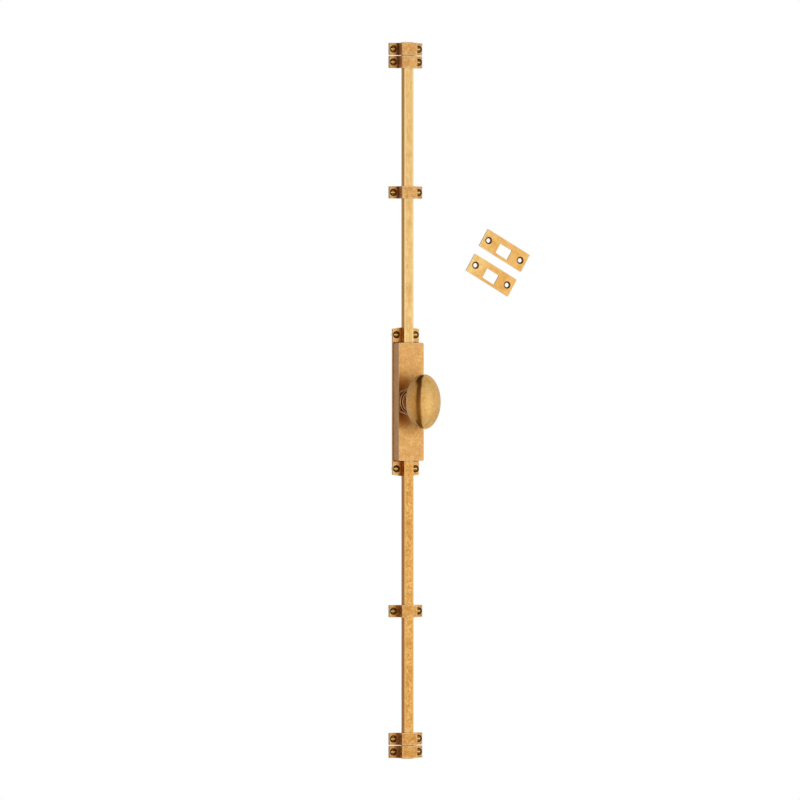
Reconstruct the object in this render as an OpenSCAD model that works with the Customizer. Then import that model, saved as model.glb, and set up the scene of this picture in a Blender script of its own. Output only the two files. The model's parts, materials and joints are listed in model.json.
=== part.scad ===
// Cremone bolt: a long surface bolt for a pair of doors or a tall window.
// Half a turn of the oval knob drives a pinion between two racks, which draw the upper
// and the lower rod out of their keepers at the same time.
// Frame: origin on the knob's axis at the gearbox's back face, +Z up along the rods,
// -Y towards the person at the knob, and the door's face on the plane y = 0.
// The model is drawn bolted, with both rods through their keepers.

/* [Rods] */
// Width of a rod across the door
rod_w = 11.4; // [8:0.1:14]
// Depth of a rod from front to back
rod_d = 8.6; // [7:0.1:12]
// Flat taken off a rod's edges
rod_ease = 0.35; // [0.2:0.05:1.2]
// How far a rod's tip stands past its keeper when bolted
rod_tip = 0.8; // [0:0.1:3]
// Play between a rod and what guides it, on each side
slide_play = 0.25; // [0.15:0.05:0.5]

/* [Reach] */
// Knob axis to the outer edge of the upper keeper
upper_reach = 405.3; // [340:0.1:900]
// Knob axis to the outer edge of the lower keeper
lower_reach = 402.3; // [340:0.1:900]
// Knob axis to the middle of each middle guide
mid_guide_z = 236.4; // [120:0.2:280]

/* [Guides and keepers] */
// Height of a strap along the rod
strap_h = 13.9; // [11:0.1:24]
// Thickness of a strap's ears
strap_ear_t = 3; // [2.8:0.1:5]
// Length of an ear beside the bridge
strap_ear_w = 10.9; // [9:0.1:20]
// Wall of the bridge in front of the rod
strap_front = 2.5; // [1.5:0.1:4]
// Wall of the bridge beside the rod
strap_side = 3.3; // [2:0.05:6]
// Hollow fillet between a bridge and its ears
strap_fillet = 1.8; // [0.5:0.1:3]
// Rounding of the ears' outer corners
strap_corner = 0.7; // [0.4:0.1:3]
// Flat along the bridge's front edges
strap_ease = 0.35; // [0.2:0.05:1.2]
// Flat along the front edge of each ear's end
strap_end_ease = 0.6; // [0.2:0.05:1]
// Screw centre to the end of its ear
strap_screw_in = 4.85; // [4.5:0.05:6]
// Gap between an end guide and its keeper
keeper_gap = 0.8; // [0.4:0.1:8]

/* [Wood screws] */
// Radius of a countersunk head
screw_head_r = 3.4; // [3:0.05:3.6]
// Radius of the plain shank under the head
screw_shank_r = 1.8; // [1.6:0.05:2.2]
// Radius of the threaded part that goes into the door
screw_thread_r = 1.5; // [1.2:0.05:1.6]
// Length of a screw behind the plate that it holds
screw_bite = 11; // [6:0.5:30]
// How far a head's rim lies below the plate's face
screw_drop = 0.5; // [0.2:0.05:0.6]
// Height of the oval head's crown
screw_crown = 0.7; // [0.3:0.05:1.2]
// Width of the driver slot
screw_slot_w = 1.1; // [0.6:0.05:1.6]
// Depth of the driver slot below the head's rim
screw_slot_d = 0.7; // [0.4:0.05:1]
// Play round a screw in its hole
screw_play = 0.2; // [0.1:0.05:0.4]

/* [Gearbox] */
// Thickness of the base plate
base_t = 3; // [2.8:0.1:5]
// How far the base plate shows beside the cover
base_lip = 0.65; // [0:0.05:4]
// How far the base plate runs past each end of the cover
base_ear = 17.4; // [14:0.1:30]
// Radius of the base plate's arched ends
base_arch_r = 80; // [50:1:300]
// Base screw centre to the end of the plate
base_screw_end = 8.4; // [6:0.1:10]
// Base screw centre to the side of the plate
base_screw_side = 4.4; // [4.2:0.1:5.5]
// Height of the cover above the base plate
cover_d = 16.3; // [15:0.1:24]
// Side and end walls of the cover
cover_wall = 2.3; // [1.6:0.1:4]
// Front wall of the cover
cover_front = 2.2; // [1.6:0.1:4]
// Rounding of the cover's corners
cover_corner = 2; // [0.6:0.1:3]
// Flat along the cover's front edges
cover_ease = 0.5; // [0.2:0.1:1.2]
// Radius of the posts that take the cover's screws
post_r = 3; // [2.6:0.1:3.4]
// Height of the raised pad round the knob's axis
pad_h = 1.2; // [0.6:0.1:3]
// Half height of the pad on the knob's axis
pad_peak_z = 17.2; // [16.4:0.1:22]
// Half height of the pad at the cover's sides
pad_side_z = 11.5; // [9:0.1:16]

/* [Pinion and racks] */
// Tooth module
gear_module = 1; // [0.8:0.05:1.2]
// Teeth of the pinion, an even count so that both racks mesh alike
pinion_teeth = 14; // [12:2:18]
// Pressure angle
pressure_angle = 25; // [22:1:28]
// Play between meshing flanks, along the rack
backlash = 0.2; // [0.1:0.05:0.4]
// Turn of the knob from bolted to drawn back
knob_turn = 180; // [90:5:200]
// Solid back of a rack behind its teeth
rack_back = 4.4; // [3:0.1:8]
// Length of a rack's heel, which is screwed to the rod
rack_heel = 33; // [24:1:60]
// Radius of the pinion's two hubs
hub_r = 5.2; // [4.4:0.1:5.6]
// Running play of a hub in its bearing
hub_play = 0.05; // [0.02:0.01:0.1]
// Side of the square spindle
spindle_side = 5.5; // [4:0.1:6]
// Wall of the front bush
bush_wall = 1.9; // [1.2:0.1:3]
// Radius of the small machine screws
machine_screw_r = 1.5; // [1.25:0.05:1.75]

/* [Knob] */
// Height of the oval knob
knob_h = 62.5; // [44:0.5:80]
// Width of the oval knob
knob_w = 41; // [30:0.5:46]
// Depth of the oval knob, from front to back
knob_d = 25; // [20:0.5:40]
// Knob's middle to the front of the cover
knob_out = 36; // [32:0.2:50]
// Outer radius of the rose
rose_r = 14.4; // [13.8:0.1:14.8]
// Radius of the rose's raised middle
rose_boss_r = 13.1; // [12:0.1:13.4]
// Height of the rose's raised middle
rose_boss_h = 4.6; // [4:0.1:6]
// Height of the rose's thin rim
rose_rim_h = 1; // [0.7:0.1:2]
// Radius of the dish in the rose that the shank turns in
rose_dish_r = 10.9; // [10.2:0.1:11.4]
// Depth of that dish
rose_dish_d = 1; // [0.4:0.1:1.5]
// Radius of the shank where it meets the rose and the knob
shank_end_r = 9; // [8:0.1:9.8]
// Radius of the shank's waist
shank_waist_r = 7.6; // [6.6:0.1:8]

/* [Strike plates] */
// Length of a strike plate
strike_w = 59; // [50:0.5:90]
// Height of a strike plate
strike_h = 22.2; // [19:0.1:40]
// Thickness of a strike plate
strike_t = 2.8; // [2:0.1:5]
// Play between the mortise and the rod's width, on each side
mortise_play_w = 2.6; // [0.5:0.1:4]
// Play between the mortise and the rod's depth, on each side
mortise_play_d = 1.85; // [0.5:0.05:2]
// Mortise's centre off the plate's long axis
mortise_off = 1.75; // [0:0.05:2.5]
// Screw hole's centre to the end of the plate
strike_screw_in = 7.2; // [5:0.1:10]
// Radius of a strike plate's screw hole
strike_hole_r = 2.5; // [2:0.1:2.8]
// Radius of the countersink at the plate's face
strike_sink_r = 3.9; // [3:0.1:4.2]
// Rounding of a strike plate's corners
strike_corner = 0.6; // [0.3:0.1:3]
// Tilt of the two plates where they lie beside the bolt
strike_tilt = 29.8; // [0:0.2:90]
// Upper plate's middle, right of the knob's axis
strike_x = 121; // [100:0.2:200]
// Upper plate's middle, above the knob's axis
strike_z = 171.8; // [80:0.2:300]
// Distance between the two plates' middles
strike_pitch = 32.4; // [24:0.2:90]

/* [Hidden] */
$fn = 64;
brass = [0.80, 0.60, 0.32];
bright_brass = [0.88, 0.70, 0.38];
dark_brass = [0.62, 0.46, 0.25];
steel = [0.55, 0.54, 0.52];
cut = 0.5;                       // how far a cutting shape runs past a face
seat_gap = 0.05;                 // gap between two pieces that are fixed to each other
end_gap = 0.3;                   // gap left at the stops and between turning faces
crown_pole = 0.02;               // flat left on a rounded tip
flank_steps = 4;                 // straight steps along one tooth flank
rack_lead = 2;                   // teeth that a rack has past the pinion's axis
count_slack = 0.01;              // keeps a whole count of teeth from being rounded up
head_ratio = 1.85;               // a machine screw's head radius over its shank's
blind_end = 1;                   // depth left under the end of a screw in a blind hole
hub_floor = 0.45;                // share of the base plate that is left behind the pinion's hub
shank_sweep = 0.42;              // share of the shank from its middle to the end of its hollow sweep
rose_ease = 0.4;                 // flat along the rose's edges
set_screw_r = 2;

// Rod and straps
rod_back = base_t + slide_play;
rod_front = rod_back + rod_d;
strap_depth = rod_front + slide_play + strap_front;
strap_bridge = rod_w / 2 + slide_play + strap_side;
strap_half = strap_bridge + strap_ear_w;
strap_screw_x = strap_half - strap_screw_in;
strap_pitch = strap_h + keeper_gap;

// Screws
screw_sink = screw_head_r - screw_shank_r;
screw_hole_r = screw_shank_r + screw_play;
screw_seat_r = screw_hole_r + screw_sink + screw_drop;

// Pinion and racks
pitch_r = gear_module * pinion_teeth / 2;
addendum = 0.9 * gear_module;
dedendum = 1.15 * gear_module;
tooth_pitch = PI * gear_module;
base_circle_r = pitch_r * cos(pressure_angle);
pinion_tip_r = pitch_r + addendum;
pinion_root_r = pitch_r - dedendum;
throw = pitch_r * PI * knob_turn / 180;
rack_tip_x = pitch_r - addendum;
rack_root_x = pitch_r + dedendum;
rack_back_x = rack_root_x + rack_back;
rod_inner_z = pinion_tip_r + throw + 4 * end_gap;
rack_top_z = rod_inner_z + rack_heel;
rack_count = ceil(throw / tooth_pitch - count_slack) + 2 * rack_lead;
rack_low_z = -rack_lead * tooth_pitch;
tongue_half = min(rod_w / 2, rack_tip_x - 2 * slide_play);
rack_mid_y = -(rod_back + rod_front) / 2;
rack_screw_z = [for (k = [1, 3]) rod_inner_z + rack_heel * k / 4];
machine_head_r = machine_screw_r * head_ratio;
machine_bore_r = machine_screw_r + seat_gap;

// Gearbox
post_in_x = rod_w / 2 + 2 * slide_play;
inner_half = max(rack_back_x + 2 * slide_play, post_in_x + 2 * post_r + slide_play);
cover_half = inner_half + cover_wall;
inner_end_z = rack_top_z + end_gap;
cover_end_z = inner_end_z + cover_wall;
base_half = cover_half + base_lip;
base_end_z = cover_end_z + base_ear;
base_screw_x = base_half - base_screw_side;
base_screw_z = base_end_z - base_screw_end;
face_y = base_t + cover_d;       // front of the cover, measured out from the door
inner_face_y = face_y - cover_front;
cover_screw_reach = inner_face_y - cover_front;
post_x = (post_in_x + inner_half) / 2;
post_near_z = throw - rack_low_z + end_gap + post_r;
post_far_z = inner_end_z - post_r - 2 * slide_play;
post_places = [for (z = [post_near_z, post_far_z]) for (s = [1, -1]) [s * post_x, -s * z]];

// Knob and its bearing
pinion_back_y = base_t + 2 * slide_play;
pinion_front_y = rod_front - slide_play;
hub_back_y = base_t * hub_floor;
hub_run_r = min(hub_r, rack_tip_x - 2 * slide_play);
bush_bore_r = hub_run_r + hub_play;
bush_r = bush_bore_r + bush_wall;
bush_back_y = rod_front + slide_play;
bush_flange_r = bush_r + bush_wall;
rose_y = face_y + pad_h;
dish_y = rose_y + rose_boss_h - rose_dish_d;
bush_front_y = dish_y - bush_wall / 2;
shank_back_y = dish_y + end_gap;
knob_y = face_y + knob_out;
knob_core = knob_d / 4;          // how far the shank and the spindle stop short of the knob's middle
shank_front_y = knob_y - knob_d / 2 * sqrt(1 - pow(2 * shank_end_r / knob_w, 2));
shank_run = shank_front_y - shank_back_y;
spindle_front_y = knob_y - knob_core;
set_screw_y = shank_back_y + shank_run / 2;

// Strike plates
strike_screw_x = strike_w / 2 - strike_screw_in;
mortise_w = rod_w + 2 * mortise_play_w;
mortise_h = rod_d + 2 * mortise_play_d;
strike_step = [-strike_pitch * sin(strike_tilt), -strike_pitch * cos(strike_tilt)];

// Shared shapes

// Runs a flat outline, drawn as seen from the front, out from the door's face
module outward(from, to) {
    translate([0, -from, 0])
        rotate([90, 0, 0])
            linear_extrude(to - from)
                children();
}

// Runs a flat outline, drawn as seen from the right side, across the part
module across(half) {
    translate([-half, 0, 0])
        rotate([90, 0, 90])
            linear_extrude(2 * half)
                children();
}

// A round bar or bore along Y, measured out from the door
module round_out(r, from, to) {
    translate([0, -from, 0])
        rotate([90, 0, 0])
            cylinder(r = r, h = to - from);
}

// A cone along Y, measured out from the door
module cone_out(r_from, r_to, from, to) {
    translate([0, -from, 0])
        rotate([90, 0, 0])
            cylinder(r1 = r_from, r2 = r_to, h = to - from);
}

// A rectangle about its middle with round corners
module round_rect(w, h, r) {
    union() {
        square([w - 2 * r, h], center = true);
        square([w, h - 2 * r], center = true);
        for (x = [-1, 1], y = [-1, 1])
            translate([x * (w / 2 - r), y * (h / 2 - r)])
                circle(r);
    }
}

// A rectangle between two corners with its corners cut off
module eased_rect(lo, hi, ease) {
    polygon([
        [lo.x + ease, lo.y], [hi.x - ease, lo.y], [hi.x, lo.y + ease], [hi.x, hi.y - ease],
        [hi.x - ease, hi.y], [lo.x + ease, hi.y], [lo.x, hi.y - ease], [lo.x, lo.y + ease]
    ]);
}

// A rectangle about its middle whose upper and lower edges are arcs, each highest in the middle
module arched_rect(half_w, rise, arch_r) {
    for (s = [0, 1])
        mirror([0, s])
            intersection() {
                translate([-half_w, -rise / 2])
                    square([2 * half_w, 2 * rise]);
                translate([0, rise - arch_r])
                    circle(arch_r);
            }
}

// The lower rod's pieces are the upper ones turned half round about the knob's axis
module turned() {
    rotate([0, 180, 0])
        children();
}

// A slotted oval-head wood screw, its rim a little below a plate's face
module wood_screw(plate_t) {
    rim_y = plate_t - screw_drop;
    crown_r = (pow(screw_head_r, 2) + pow(screw_crown, 2)) / (2 * screw_crown);
    point = 2 * screw_thread_r;
    difference() {
        union() {
            cone_out(screw_shank_r, screw_head_r, rim_y - screw_sink, rim_y);
            intersection() {
                translate([0, crown_r - screw_crown - rim_y, 0])
                    sphere(crown_r);
                round_out(screw_head_r, rim_y, rim_y + 2 * screw_crown);
            }
            round_out(screw_shank_r, 0, rim_y - screw_sink);
            round_out(screw_thread_r, point - screw_bite, 0);
            cone_out(crown_pole, screw_thread_r, -screw_bite, point - screw_bite);
        }
        outward(rim_y - screw_slot_d, rim_y + 2 * screw_crown)
            square([3 * screw_head_r, screw_slot_w], center = true);
    }
}

// The hole for a wood screw, whose countersink shows as a ring round the head
module wood_screw_hole(plate_t) {
    round_out(screw_hole_r, -cut, plate_t);
    cone_out(screw_hole_r, screw_seat_r, plate_t - screw_drop - screw_sink, plate_t);
    round_out(screw_seat_r, plate_t, plate_t + 3 * screw_head_r);
}

// A countersunk machine screw lying along +Z, its flat head at z = 0 and its end at z = -len
module machine_screw(len) {
    sink = machine_head_r - machine_screw_r;
    slot = machine_screw_r / 2;
    difference() {
        union() {
            translate([0, 0, -sink])
                cylinder(r1 = machine_screw_r, r2 = machine_head_r, h = sink);
            translate([0, 0, -len])
                cylinder(r = machine_screw_r, h = len - sink);
        }
        translate([-2 * machine_head_r, -slot / 2, -sink / 2])
            cube([4 * machine_head_r, slot, sink]);
    }
}

// The hole for that screw, with room for the head to lie a little below the face
module machine_screw_hole(len) {
    sink = machine_head_r - machine_screw_r;
    mouth_r = machine_head_r + 3 * seat_gap;
    translate([0, 0, -len])
        cylinder(r = machine_bore_r, h = len);
    translate([0, 0, -sink])
        cylinder(r1 = mouth_r - sink, r2 = mouth_r, h = sink);
    cylinder(r = mouth_r, h = cut);
}

// Straps: the guides and keepers that bridge the rods

module strap_outline() {
    fillet_x = strap_bridge + strap_fillet;
    fillet_y = strap_ear_t + strap_fillet;
    difference() {
        union() {
            eased_rect([-strap_half, -strap_ear_t], [strap_half, strap_ear_t], strap_end_ease);
            eased_rect([-strap_bridge, -strap_depth], [strap_bridge, strap_depth], strap_ease);
            difference() {
                square([2 * fillet_x, 2 * fillet_y], center = true);
                for (s = [-1, 1])
                    translate([s * fillet_x, -fillet_y])
                        circle(strap_fillet);
            }
        }
        translate([-strap_half - cut, 0])
            square([2 * (strap_half + cut), strap_depth + cut]);
        translate([-rod_w / 2 - slide_play, -rod_front - slide_play])
            square([rod_w + 2 * slide_play, rod_front + slide_play + cut]);
    }
}

module strap(z) {
    translate([0, 0, z])
        difference() {
            intersection() {
                translate([0, 0, -strap_h / 2])
                    linear_extrude(strap_h)
                        strap_outline();
                outward(-cut, strap_depth + cut)
                    round_rect(2 * strap_half, strap_h, strap_corner);
            }
            for (s = [-1, 1])
                translate([s * strap_screw_x, 0, 0])
                    wood_screw_hole(strap_ear_t);
        }
}

module strap_screws(z) {
    for (s = [-1, 1])
        translate([s * strap_screw_x, 0, z])
            wood_screw(strap_ear_t);
}

function keeper_z(reach) = reach - strap_h / 2;
function end_guide_z(reach) = keeper_z(reach) - strap_pitch;

module upper_keeper() color(brass) strap(keeper_z(upper_reach));
module upper_end_guide() color(brass) strap(end_guide_z(upper_reach));
module upper_mid_guide() color(brass) strap(mid_guide_z);
module lower_mid_guide() color(brass) strap(-mid_guide_z);
module lower_end_guide() color(brass) strap(-end_guide_z(lower_reach));
module lower_keeper() color(brass) strap(-keeper_z(lower_reach));

module upper_keeper_screws() color(dark_brass) strap_screws(keeper_z(upper_reach));
module upper_end_guide_screws() color(dark_brass) strap_screws(end_guide_z(upper_reach));
module upper_mid_guide_screws() color(dark_brass) strap_screws(mid_guide_z);
module lower_mid_guide_screws() color(dark_brass) strap_screws(-mid_guide_z);
module lower_end_guide_screws() color(dark_brass) strap_screws(-end_guide_z(lower_reach));
module lower_keeper_screws() color(dark_brass) strap_screws(-keeper_z(lower_reach));

// Gearbox

module at_base_screws() {
    for (x = [-1, 1], z = [-1, 1])
        translate([x * base_screw_x, 0, z * base_screw_z])
            children();
}

// Places children on the cover's posts, turned so that their heads lie at the plate's back
module at_cover_screws() {
    for (p = post_places)
        translate([p.x, 0, p.y])
            rotate([-90, 0, 0])
                children();
}

module base_plate() {
    color(brass)
        difference() {
            outward(0, base_t)
                arched_rect(base_half, base_end_z, base_arch_r);
            at_base_screws()
                wood_screw_hole(base_t);
            at_cover_screws()
                machine_screw_hole(base_t + cut);
            round_out(bush_bore_r, hub_back_y - end_gap, base_t + cut);
        }
}

module base_screws() {
    color(dark_brass)
        at_base_screws()
            wood_screw(base_t);
}

module cover_body() {
    intersection() {
        outward(base_t, face_y)
            round_rect(2 * cover_half, 2 * cover_end_z, cover_corner);
        translate([0, 0, -cover_end_z])
            linear_extrude(2 * cover_end_z)
                eased_rect([-cover_half, -face_y], [cover_half, 0], cover_ease);
        across(cover_half)
            eased_rect([-face_y, -cover_end_z], [0, cover_end_z], cover_ease);
    }
}

// The raised pad round the knob's axis: six-sided, with its four slanting edges sloped back
module cover_pad() {
    half = cover_half - 2 * cover_ease;
    slant = atan2(pad_peak_z - pad_side_z, half);
    reach = 2 * cover_half;
    difference() {
        outward(face_y - cut, face_y + pad_h)
            polygon([
                [0, pad_peak_z], [half, pad_side_z], [half, -pad_side_z],
                [0, -pad_peak_z], [-half, -pad_side_z], [-half, pad_side_z]
            ]);
        for (x = [0, 1], z = [0, 1])
            mirror([x, 0, 0])
                mirror([0, 0, z])
                    translate([0, -face_y, pad_peak_z])
                        rotate([0, slant, 0])
                            rotate([45, 0, 0])
                                translate([-reach, -reach / 2, 0])
                                    cube([2 * reach, reach, reach]);
    }
}

module gearbox_cover() {
    color(brass)
        difference() {
            union() {
                difference() {
                    cover_body();
                    outward(base_t - cut, inner_face_y)
                        square([2 * inner_half, 2 * inner_end_z], center = true);
                }
                cover_pad();
                for (p = post_places)
                    translate([p.x, 0, p.y])
                        round_out(post_r, base_t, inner_face_y + cut);
            }
            outward(base_t - cut, rod_front + slide_play)
                square([rod_w + 2 * slide_play, 2 * (cover_end_z + cut)], center = true);
            round_out(bush_r + seat_gap, base_t, rose_y + cut);
            at_cover_screws()
                machine_screw_hole(cover_screw_reach);
        }
}

module cover_screws() {
    color(steel)
        translate([0, -seat_gap, 0])
            at_cover_screws()
                machine_screw(cover_screw_reach - blind_end);
}

module front_bush() {
    color(dark_brass)
        difference() {
            union() {
                round_out(bush_r, bush_back_y, bush_front_y);
                round_out(bush_flange_r, bush_back_y, inner_face_y);
            }
            round_out(bush_bore_r, bush_back_y - cut, bush_front_y + cut);
        }
}

module knob_rose() {
    bore = bush_r + seat_gap;
    floor_h = rose_boss_h - rose_dish_d;
    color(brass)
        translate([0, -rose_y, 0])
            rotate([90, 0, 0])
                rotate_extrude()
                    polygon([
                        [bore, 0], [rose_r, 0], [rose_r, rose_rim_h - rose_ease],
                        [rose_r - rose_ease, rose_rim_h], [rose_boss_r, rose_rim_h],
                        [rose_boss_r, rose_boss_h - rose_ease],
                        [rose_boss_r - rose_ease, rose_boss_h],
                        [rose_dish_r, rose_boss_h], [rose_dish_r, floor_h], [bore, floor_h]
                    ]);
}

// Pinion, spindle and knob

// Angle between a tooth's middle and its flank at a radius, for an involute flank
function involute(a) = tan(a) * 180 / PI - a;
function flank_angle(r) =
    (tooth_pitch - backlash) / 4 / pitch_r * 180 / PI
    + involute(pressure_angle) - involute(acos(base_circle_r / r));
function polar(r, a) = [r * cos(a), r * sin(a)];

module pinion_outline() {
    step = (pinion_tip_r - base_circle_r) / flank_steps;
    radii = [for (i = [0 : flank_steps]) base_circle_r + i * step];
    foot = min(pinion_root_r, base_circle_r);
    polygon([
        for (i = [0 : pinion_teeth - 1])
            let (mid = i * 360 / pinion_teeth)
            each concat(
                [polar(foot, mid - flank_angle(base_circle_r))],
                [for (r = radii) polar(r, mid - flank_angle(r))],
                [for (k = [flank_steps : -1 : 0]) polar(radii[k], mid + flank_angle(radii[k]))],
                [polar(foot, mid + flank_angle(base_circle_r))]
            )
    ]);
}

module pinion() {
    side = spindle_side + 2 * seat_gap;
    color(steel)
        difference() {
            union() {
                outward(pinion_back_y, pinion_front_y)
                    pinion_outline();
                round_out(hub_run_r, hub_back_y, bush_front_y);
            }
            outward(hub_back_y - cut, bush_front_y + cut)
                square(side, center = true);
        }
}

module spindle() {
    half = spindle_side / 2;
    color(steel)
        outward(hub_back_y, spindle_front_y)
            eased_rect([-half, -half], [half, half], half / 7);
}

// Radius of the hollow sweep that narrows the shank to its waist, with a straight land at each end
function shank_bow() =
    let (half = shank_run * shank_sweep, depth = shank_end_r - shank_waist_r)
    (half * half + depth * depth) / (2 * depth);

module shank_outline() {
    difference() {
        square([shank_end_r, shank_run + knob_core]);
        translate([shank_waist_r + shank_bow(), shank_run / 2])
            circle(shank_bow());
    }
}

module knob_set_screw() {
    len = shank_waist_r - spindle_side / 2 - 2 * seat_gap;
    slot = set_screw_r * 0.4;
    color(steel)
        translate([0, -set_screw_y, -shank_waist_r])
            difference() {
                cylinder(r = set_screw_r, h = len);
                translate([-2 * set_screw_r, -slot / 2, -cut])
                    cube([4 * set_screw_r, slot, cut + len / 4]);
            }
}

module knob() {
    socket = spindle_side + 2 * seat_gap;
    color(brass)
        difference() {
            union() {
                translate([0, -knob_y, 0])
                    scale([knob_w / 2, knob_d / 2, knob_h / 2])
                        sphere(1);
                translate([0, -shank_back_y, 0])
                    rotate([90, 0, 0])
                        rotate_extrude()
                            shank_outline();
            }
            outward(shank_back_y - cut, spindle_front_y + seat_gap)
                square(socket, center = true);
            translate([0, -set_screw_y, -2 * shank_end_r])
                cylinder(r = set_screw_r + seat_gap, h = 2 * shank_end_r);
        }
}

// Rods and racks

module rod(reach) {
    tip_z = reach + rod_tip;
    half = rod_w / 2;
    shoulder_z = rack_top_z + 2 * end_gap;
    color(bright_brass)
        difference() {
            intersection() {
                translate([0, 0, rod_inner_z])
                    linear_extrude(tip_z - rod_inner_z)
                        eased_rect([-half, -rod_front], [half, -rod_back], rod_ease);
                across(rod_w)
                    eased_rect([-rod_front, rod_inner_z - rod_ease], [-rod_back, tip_z], rod_ease);
                outward(0, 2 * rod_front)
                    polygon([
                        [-tongue_half, rod_inner_z], [tongue_half, rod_inner_z],
                        [tongue_half, shoulder_z], [half, shoulder_z], [half, tip_z - rod_ease],
                        [half - rod_ease, tip_z], [rod_ease - half, tip_z],
                        [-half, tip_z - rod_ease], [-half, shoulder_z], [-tongue_half, shoulder_z]
                    ]);
            }
            for (z = rack_screw_z)
                translate([0, rack_mid_y, z])
                    rotate([0, 90, 0])
                        cylinder(r = machine_bore_r, h = rod_w);
        }
}

// One straight-sided rack tooth, its root line on the rack's body
module rack_tooth(z) {
    lean = tan(pressure_angle);
    at_pitch = (tooth_pitch - backlash) / 4;
    tip = at_pitch - addendum * lean;
    root = at_pitch + dedendum * lean;
    polygon([
        [rack_tip_x, z - tip], [rack_root_x, z - root], [rack_root_x + cut, z - root],
        [rack_root_x + cut, z + root], [rack_root_x, z + root], [rack_tip_x, z + tip]
    ]);
}

module rack() {
    color(dark_brass)
        difference() {
            outward(rod_back, rod_front)
                union() {
                    translate([rack_root_x, rack_low_z])
                        square([rack_back, rack_top_z - rack_low_z]);
                    translate([tongue_half, rod_inner_z])
                        square([rack_back_x - tongue_half, rack_heel]);
                    for (i = [0 : rack_count - 1])
                        rack_tooth(rack_low_z + (i + 0.5) * tooth_pitch);
                }
            for (z = rack_screw_z)
                translate([rack_back_x, rack_mid_y, z])
                    rotate([0, 90, 0])
                        machine_screw_hole(rack_back_x);
        }
}

module rack_screws() {
    color(steel)
        for (z = rack_screw_z)
            translate([rack_back_x - seat_gap, rack_mid_y, z])
                rotate([0, 90, 0])
                    machine_screw(rack_back_x - seat_gap - machine_screw_r);
}

module upper_rod() rod(upper_reach);
module upper_rack() rack();
module upper_rack_screws() rack_screws();
module lower_rod() turned() rod(lower_reach);
module lower_rack() turned() rack();
module lower_rack_screws() turned() rack_screws();

// Strike plates, which lie beside the bolt until they are let into a head or a sill

module strike_plate(x, z) {
    sink = strike_sink_r - strike_hole_r;
    color(bright_brass)
        translate([x, 0, z])
            rotate([0, strike_tilt, 0])
                difference() {
                    outward(0, strike_t)
                        difference() {
                            round_rect(strike_w, strike_h, strike_corner);
                            translate([0, -mortise_off])
                                square([mortise_w, mortise_h], center = true);
                        }
                    for (s = [-1, 1])
                        translate([s * strike_screw_x, 0, 0]) {
                            round_out(strike_hole_r, -cut, strike_t + cut);
                            cone_out(strike_hole_r, strike_sink_r, strike_t - sink, strike_t);
                        }
                }
}

module strike_plate_upper() strike_plate(strike_x, strike_z);
module strike_plate_lower() strike_plate(strike_x + strike_step.x, strike_z + strike_step.y);

base_plate();
gearbox_cover();
knob_rose();
front_bush();
cover_screws();
base_screws();
upper_keeper();
upper_end_guide();
upper_mid_guide();
lower_mid_guide();
lower_end_guide();
lower_keeper();
upper_keeper_screws();
upper_end_guide_screws();
upper_mid_guide_screws();
lower_mid_guide_screws();
lower_end_guide_screws();
lower_keeper_screws();
strike_plate_upper();
strike_plate_lower();
knob();
knob_set_screw();
spindle();
pinion();
upper_rod();
upper_rack();
upper_rack_screws();
lower_rod();
lower_rack();
lower_rack_screws();
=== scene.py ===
"""The looks of a cremone bolt: aged brass on every piece, cut screw threads, a light tent and the camera."""
import json
import math

import bpy
import numpy as np
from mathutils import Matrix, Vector


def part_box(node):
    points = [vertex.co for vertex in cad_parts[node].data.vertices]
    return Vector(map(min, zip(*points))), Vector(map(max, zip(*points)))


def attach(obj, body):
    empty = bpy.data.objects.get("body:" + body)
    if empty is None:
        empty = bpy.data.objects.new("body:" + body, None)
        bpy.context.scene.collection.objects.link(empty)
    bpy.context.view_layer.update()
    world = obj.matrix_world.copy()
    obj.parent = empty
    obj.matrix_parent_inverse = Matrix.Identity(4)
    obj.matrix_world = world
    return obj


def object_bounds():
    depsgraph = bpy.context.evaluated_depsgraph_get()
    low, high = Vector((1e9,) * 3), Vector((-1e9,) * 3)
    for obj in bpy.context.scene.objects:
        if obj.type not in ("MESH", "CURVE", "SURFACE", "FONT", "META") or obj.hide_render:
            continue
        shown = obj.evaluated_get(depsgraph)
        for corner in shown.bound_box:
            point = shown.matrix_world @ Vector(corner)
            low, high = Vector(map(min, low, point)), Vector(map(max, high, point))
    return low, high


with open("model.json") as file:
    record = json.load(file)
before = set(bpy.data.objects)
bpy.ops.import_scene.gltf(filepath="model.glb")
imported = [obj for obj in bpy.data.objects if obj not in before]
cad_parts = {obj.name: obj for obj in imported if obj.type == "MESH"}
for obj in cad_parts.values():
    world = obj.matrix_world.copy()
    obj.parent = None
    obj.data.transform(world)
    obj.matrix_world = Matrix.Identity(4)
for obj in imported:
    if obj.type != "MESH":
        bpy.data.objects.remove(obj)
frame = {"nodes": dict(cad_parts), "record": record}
cad_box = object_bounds()
nodes = frame["nodes"]
slots = {row["node"]: row["material_slot"] for row in frame["record"]["subparts"]}

MM = 0.001


# The photograph's view

VIEW_AZIMUTH = -22.0                 # degrees: the camera stands left of the bolt's front
VIEW_DISTANCE = 9.0
VIEW_END = 50.0                      # beyond everything on the stage
PHOTO_SIDE = 800                     # pixels along each side of the photograph
PHOTO_SCALE = 1.13 * MM              # metres on the bolt for one pixel
AXIS_PIXEL = (404.95, 401.75)        # where the knob's axis meets the door's face
SENSOR = 36.0


def towards(azimuth, elevation=0.0):
    """The direction that lies azimuth degrees right of the bolt's front and elevation degrees above its level."""
    a, e = math.radians(azimuth), math.radians(elevation)
    return Vector((math.sin(a) * math.cos(e), -math.cos(a) * math.cos(e), math.sin(e)))


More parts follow.
